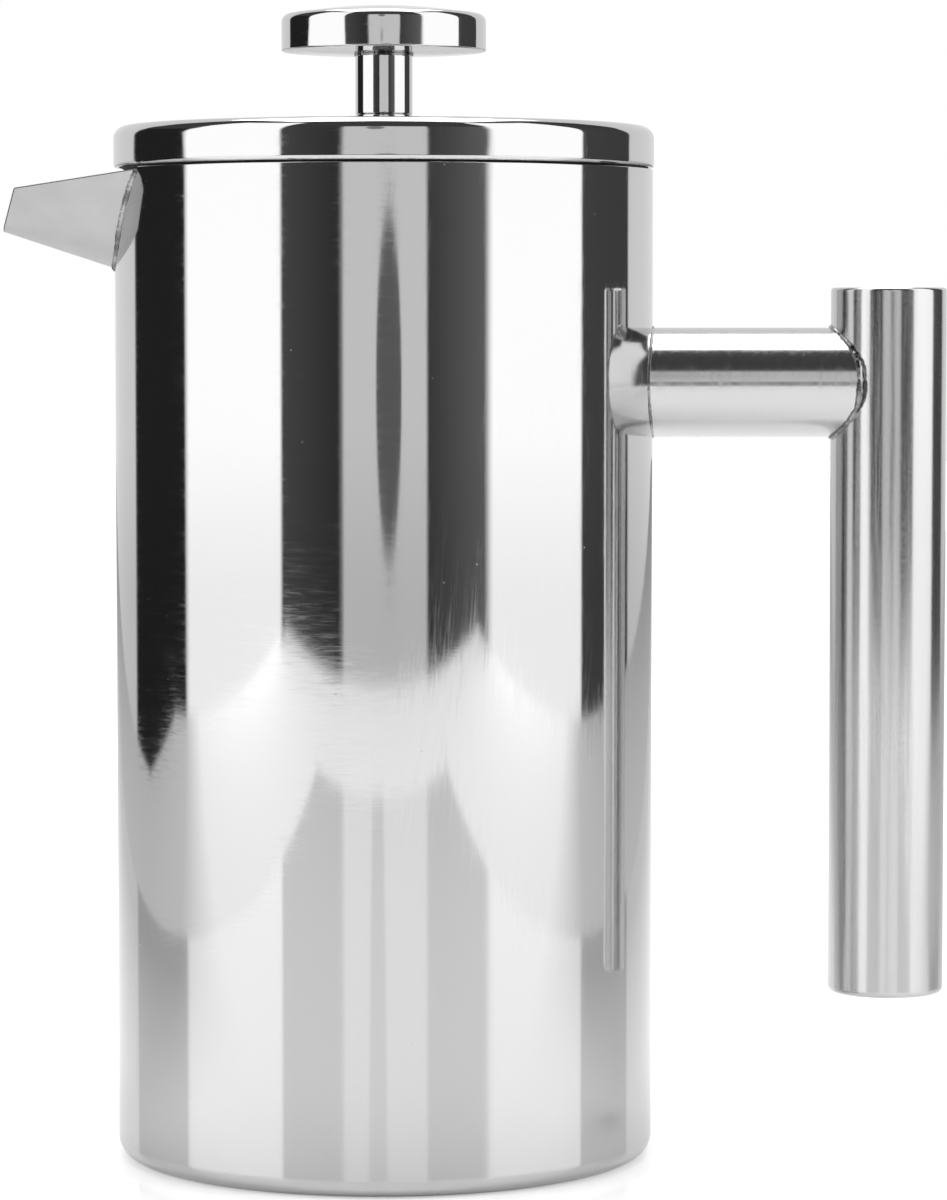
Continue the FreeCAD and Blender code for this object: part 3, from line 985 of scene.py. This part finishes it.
class PRESS_OT_plunger(bpy.types.Operator):
    """Knob, neck, the bead between them and the rod's bush"""
    bl_idname = "press.plunger"
    bl_label = "Plunger"

    def execute(self, context):
        size = sizes()
        collar = reach("knob_neck")
        bore = 2.5 * MM
        self.knob(size)
        self.neck(size, bore, collar)
        self.bush(size, bore, collar)
        return {"FINISHED"}

    def knob(self, size):
        """The knob: a disc with a shallow dome and a slightly conical underside."""
        knob_low, knob_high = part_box("knob_disc")
        radius = reach("knob_disc")
        rise = 1.6 * MM
        shoulder = knob_high.z - rise
        knob = turned("disc_knob", rounded([
            (0, knob_low.z),
            (6 * MM, knob_low.z),
            (radius, knob_low.z + 0.45 * MM, 0.35 * MM),
            (radius, shoulder, 1.5 * MM),
            *[(r, shoulder + h) for r, h in dome(radius - 1.5 * MM, rise, 8)],
        ], 8), size.round_steps, solid=True)
        hand_over(knob, "plunger", "mirror_steel", "knob_disc", finish="pressed_steel")

    def neck(self, size, bore, collar):
        """The short tube under the knob and the bead that joins them."""
        neck_low, neck_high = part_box("knob_neck")
        neck = turned("neck_tube", rounded([
            (bore, neck_low.z),
            (collar, neck_low.z, 0.25 * MM),
            (collar, neck_high.z),
            (bore, neck_high.z),
        ], 4), size.small_steps)
        hand_over(neck, "plunger", "mirror_steel", "knob_neck")
        level = low("knob_disc").z - 0.15 * MM
        path = [Vector((*spot, level)) for spot in circle(collar - 0.05 * MM, 90)]
        bead = bead_along("neck_bead", path, 0.32 * MM, seed=7, ripple=0.2, closed=True)
        hand_over(bead, "plunger", "weld_bead", "knob_weld")

    def bush(self, size, bore, collar):
        """The rod's bush: a body in the cover's hole and a wider collar over it."""
        bush_low, bush_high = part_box("rod_bush")
        inner = bore + 0.05 * MM
        body = 4.5 * MM
        shoulder = bush_high.z - 0.8 * MM
        bush = turned("guide_bush", rounded([
            (inner, bush_low.z),
            (body, bush_low.z, 0.4 * MM),
            (body, shoulder),
            (collar, shoulder, 0.1 * MM),
            (collar, bush_high.z, 0.25 * MM),
            (inner, bush_high.z),
        ], 4), size.small_steps)
        hand_over(bush, "guide", "mirror_steel", "rod_bush")


class PRESS_OT_filter(bpy.types.Operator):
    """Coil spring round the filter's edge"""
    bl_idname = "press.filter"
    bl_label = "Filter spring"

    def execute(self, context):
        size = sizes()
        ring_low, ring_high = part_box("edge_spring")
        middle = (ring_high.z + ring_low.z) / 2
        outer = (ring_high.z - ring_low.z) / 2
        ring = reach("edge_spring") - outer
        coil = outer - size.wire
        turns = 250
        corners = 8
        path = []
        for step in range(corners + 1):
            along = TURN * step / corners
            away = ring + coil * math.cos(along)
            path.append(Vector((away * math.cos(along / turns), away * math.sin(along / turns),
                                middle + coil * math.sin(along))))
        piece = new_point("edge_coil", path[0])
        draw_through(path)
        enter("OBJECT")
        select_none()
        bpy.ops.object.empty_add(rotation=(0, 0, TURN / turns))
        step = bpy.context.object
        use_modifier(piece, "ARRAY", count=turns, use_relative_offset=False,
                     use_object_offset=True, offset_object=step, use_merge_vertices=True,
                     use_merge_vertices_cap=True, merge_threshold=0.005 * MM)
        bpy.data.objects.remove(step)
        enter("EDIT")
        piece = mesh_from(wire_from(piece, size.wire, 1))
        hand_over(piece, "plunger", "satin_steel", "edge_spring")
        return {"FINISHED"}


class PRESS_OT_carried(bpy.types.Operator):
    """Finishes for the frame's own pieces that stay"""
    bl_idname = "press.carried"
    bl_label = "Inner pieces"

    def execute(self, context):
        slots = {row["node"]: row["material_slot"] for row in frame["record"]["subparts"]}
        for name, node in frame["nodes"].items():
            if node.hide_render:
                continue
            node.data.materials.clear()
            node.data.materials.append(material_for(slots[name]))
        return {"FINISHED"}


# ---- Studio ----

# The surround by direction: bands from one side to another, in degrees from the camera towards the
# handle, with the brightness at either end.
SURROUND = (
    (-180.0, -131.3, 0.82, 0.82),
    (-130.7, -91.8, 0.02, 0.02),
    (-91.2, -43.6, 1.5, 1.5),
    (-42.4, -17.0, 0.08, 0.036),
    (-16.5, 18.6, 0.78, 0.78),
    (19.1, 44.0, 0.055, 0.15),
    (47.2, 93.2, 1.5, 1.5),
    (93.8, 128.7, 0.07, 0.06),
    (129.3, 180.0, 0.82, 0.82),
)
BRIGHTEST = 2.0
DEGREES = 180 / math.pi


class PRESS_OT_studio(bpy.types.Operator):
    """Pale floor, soft lights, surround and camera"""
    bl_idname = "press.studio"
    bl_label = "Studio"

    def execute(self, context):
        self.floor()
        self.lights()
        self.surround()
        self.camera(context)
        context.scene.view_settings.view_transform = "Standard"
        return {"FINISHED"}

    def floor(self):
        """A pale floor, narrower at the back on the left, with a glossy sheet under the press and
        painted shade at the back on either side.
        """
        room = studio()
        side = room.floor_side
        corners = [(-side, -room.floor_front), (side, -room.floor_front),
                   (side, room.floor_back), (-0.7 * side, room.floor_back),
                   (-0.7 * side, 0.32), (-1.02 * side, 0.12)]
        piece = filled_outline("floor", [Vector((*corner, 0)) for corner in corners])
        enter("OBJECT")
        floor = Finish("floor", 0.0)
        shader = floor.shader
        axes = floor.axes(floor.where)
        aside = floor.maths("ABSOLUTE", axes["X"])
        # Painted shade: the floor's colour darkens towards the back on either side of the press.
        painted_shade_behind = floor.maths("MULTIPLY", floor.ranged(aside, 0.1, 0.3),
                             floor.ranged(axes["Y"], -0.14, 0.0))
        grain = floor.cloud(900, 2.0)
        # This mask joins that painted shade with a faint random grain in the floor's tone.
        worn = floor.maths("MAXIMUM", painted_shade_behind, floor.maths("MULTIPLY", grain, 0.05))
        floor.tone(room.floor, worn, 0.4)
        floor.rough(0.6)
        floor.feed(shader["Specular IOR Level"], 0.0)
        sheet_side = 0.36
        sheet_front = -0.72
        sheet = floor.maths("MULTIPLY", floor.maths("LESS_THAN", aside, sheet_side),
                            floor.maths("GREATER_THAN", axes["Y"], sheet_front))
        floor.feed(shader["Coat Weight"], floor.maths("MULTIPLY", sheet, room.sheet))
        floor.feed(shader["Coat Roughness"], 0.03)
        glow = floor.ranged(axes["Y"], -1.1, 0.2, room.fill, 0.0)
        clear = floor.ranged(axes["Y"], 0.05, 0.7, 0.35, 1.0)
        seen = floor.maths("MULTIPLY", floor.camera_ray(), clear)
        floor.feed(shader["Emission Color"], (1, 1, 1, 1))
        floor.feed(shader["Emission Strength"], floor.maths("ADD", glow, seen))
        piece.data.materials.append(floor.material)

    def lights(self):
        """Two upright softboxes at the sides and one overhead."""
        room = studio()
        for name, start, end in (("softbox_left", -91.5, -43.0), ("softbox_right", 47.0, 93.5)):
            middle = math.radians((start + end) / 2)
            facing = Vector((math.sin(middle), -math.cos(middle), 0))
            place = facing * room.box_away + Vector((0, 0, room.box_tall / 2))
            wide = 2 * room.box_away * math.tan(math.radians((end - start) / 2))
            lamp = self.softbox(name, place, facing, wide, room.box_tall, room.box_glow)
            lamp.visible_glossy = False
        front = -room.top_away / math.tan(math.radians(75))
        back = room.top_away / math.tan(math.radians(61))
        place = Vector((0, (front + back) / 2, room.top_away))
        self.softbox("softbox_top", place, Vector((0, 0, 1)), 1.2, back - front, room.top_glow)

    def softbox(self, name, place, facing, wide, tall, glow):
        """A rectangular light that looks against its facing direction."""
        light = bpy.data.lights.new(name, "AREA")
        light.shape = "RECTANGLE"
        light.size = wide
        light.size_y = tall
        light.energy = glow * math.pi * wide * tall
        turn = facing.to_track_quat("Z", "Y").to_euler()
        return self.placed(name, light, place, turn)

    def placed(self, name, data, place, turn):
        """A light or camera in the scene."""
        item = bpy.data.objects.new(name, data)
        item.location = place
        item.rotation_euler = turn
        bpy.context.scene.collection.objects.link(item)
        return item

    def surround(self):
        """Pale and dark panels by direction, with a white backdrop for the camera."""
        world = bpy.data.worlds.new("studio surround")
        bpy.context.scene.world = world
        world.use_nodes = True
        nodes = Nodes(world.node_tree)
        axes = nodes.axes(nodes.add("ShaderNodeTexCoord").outputs["Generated"])
        forward = nodes.maths("MULTIPLY", axes["Y"], -1)
        across = nodes.maths("MULTIPLY", nodes.maths("ARCTAN2", axes["X"], forward), DEGREES)
        upward = nodes.maths("MULTIPLY", nodes.maths("ARCSINE", axes["Z"]), DEGREES)
        aside = nodes.maths("ABSOLUTE", across)
        panels = self.bands(nodes, across)
        boxes = nodes.maths("GREATER_THAN", panels, 0.6)
        level = nodes.maths("SUBTRACT", upward, nodes.maths("MULTIPLY", boxes, 31))
        over = nodes.maths("MULTIPLY", nodes.ranged(level, 22, 25),
                           nodes.maths("LESS_THAN", aside, 130))
        low_down = nodes.ranged(upward, -1.5, -3.5, 0.0, 0.16)
        below = nodes.maths("MULTIPLY", nodes.maths("LESS_THAN", upward, -4.8),
                            nodes.maths("LESS_THAN", aside, 45))
        stand = self.oval(nodes, across, upward, (3.0, -0.9), (5.3, 2.2))
        column = self.oval(nodes, across, upward, (-1.8, 14.0), (4.0, 9.5))
        for mask, shade in ((over, 0.06), (low_down, 0), (below, 0.09), (stand, 0.13),
                            (column, 0.25), (nodes.camera_ray(), 1)):
            panels = nodes.blend(mask, panels, rgba([shade / BRIGHTEST] * 3))
        ground = world.node_tree.nodes["Background"].inputs
        nodes.feed(ground["Color"], panels)
        nodes.feed(ground["Strength"], BRIGHTEST)

    def bands(self, nodes, across):
        """The surround's bands as a colour ramp over the direction."""
        ramp = nodes.add("ShaderNodeValToRGB", {"Fac": nodes.ranged(across, -180, 180)})
        stops = ramp.color_ramp.elements
        stops.remove(stops[1])
        edges = [(start, value) for start, end, value, last in SURROUND]
        edges += [(end, last) for start, end, value, last in SURROUND]
        for index, (place, value) in enumerate(sorted(edges)):
            part = (place + 180) / 360
            stop = stops[0] if index == 0 else stops.new(part)
            stop.position = part
            stop.color = rgba([value / BRIGHTEST] * 3)
        return ramp.outputs["Color"]

    def oval(self, nodes, across, upward, middle, half):
        """A mask that is 1 inside an oval of directions."""
        wide = nodes.maths("DIVIDE", nodes.maths("SUBTRACT", across, middle[0]), half[0])
        tall = nodes.maths("DIVIDE", nodes.maths("SUBTRACT", upward, middle[1]), half[1])
        ring = nodes.maths("ADD", nodes.maths("MULTIPLY", wide, wide),
                           nodes.maths("MULTIPLY", tall, tall))
        return nodes.ranged(ring, 1.1, 0.9)

    def camera(self, context):
        """A long lens, a little above the pot's middle."""
        room = studio()
        lens = bpy.data.cameras.new("camera")
        lens.lens = room.focal
        lens.sensor_width = 36
        lens.clip_start = 0.05
        place = (room.camera_side, -room.camera_away, room.camera_height)
        turn = (math.pi / 2 - room.camera_pitch, 0, 0)
        context.scene.camera = self.placed("camera", lens, place, turn)


# ---- Panel and registration ----

OPERATORS = (PRESS_OT_pot, PRESS_OT_spout, PRESS_OT_handle, PRESS_OT_lid, PRESS_OT_plunger,
             PRESS_OT_filter, PRESS_OT_carried, PRESS_OT_studio)
GROUPS = {"press_sizes": PressSizes, "press_finishes": PressFinishes,
          "press_studio": PressStudio}


class PRESS_PT_panel(bpy.types.Panel):
    """Lists the press's pieces, sizes, finishes and studio"""
    bl_idname = "PRESS_PT_panel"
    bl_label = "Coffee Press"
    bl_space_type = "VIEW_3D"
    bl_region_type = "UI"
    bl_category = "Coffee Press"

    def draw(self, context):
        for operator in OPERATORS:
            self.layout.operator(operator.bl_idname)
        for group in (sizes(), finishes(), studio()):
            box = self.layout.box()
            for key in group.__annotations__:
                box.prop(group, key)


def register():
    """Registers the classes and hangs the settings on the scene."""
    for item in (*GROUPS.values(), *OPERATORS, PRESS_PT_panel):
        bpy.utils.register_class(item)
    for key, group in GROUPS.items():
        setattr(bpy.types.Scene, key, PointerProperty(type=group))


def unregister():
    """Takes the settings and classes away again."""
    for key in GROUPS:
        delattr(bpy.types.Scene, key)
    for item in reversed((*GROUPS.values(), *OPERATORS, PRESS_PT_panel)):
        bpy.utils.unregister_class(item)


def main():
    """Builds the press and its studio."""
    register()
    bpy.ops.press.pot()
    bpy.ops.press.spout()
    bpy.ops.press.handle()
    bpy.ops.press.lid()
    bpy.ops.press.plunger()
    bpy.ops.press.filter()
    bpy.ops.press.carried()
    bpy.ops.press.studio()


if __name__ == "__main__":
    main()
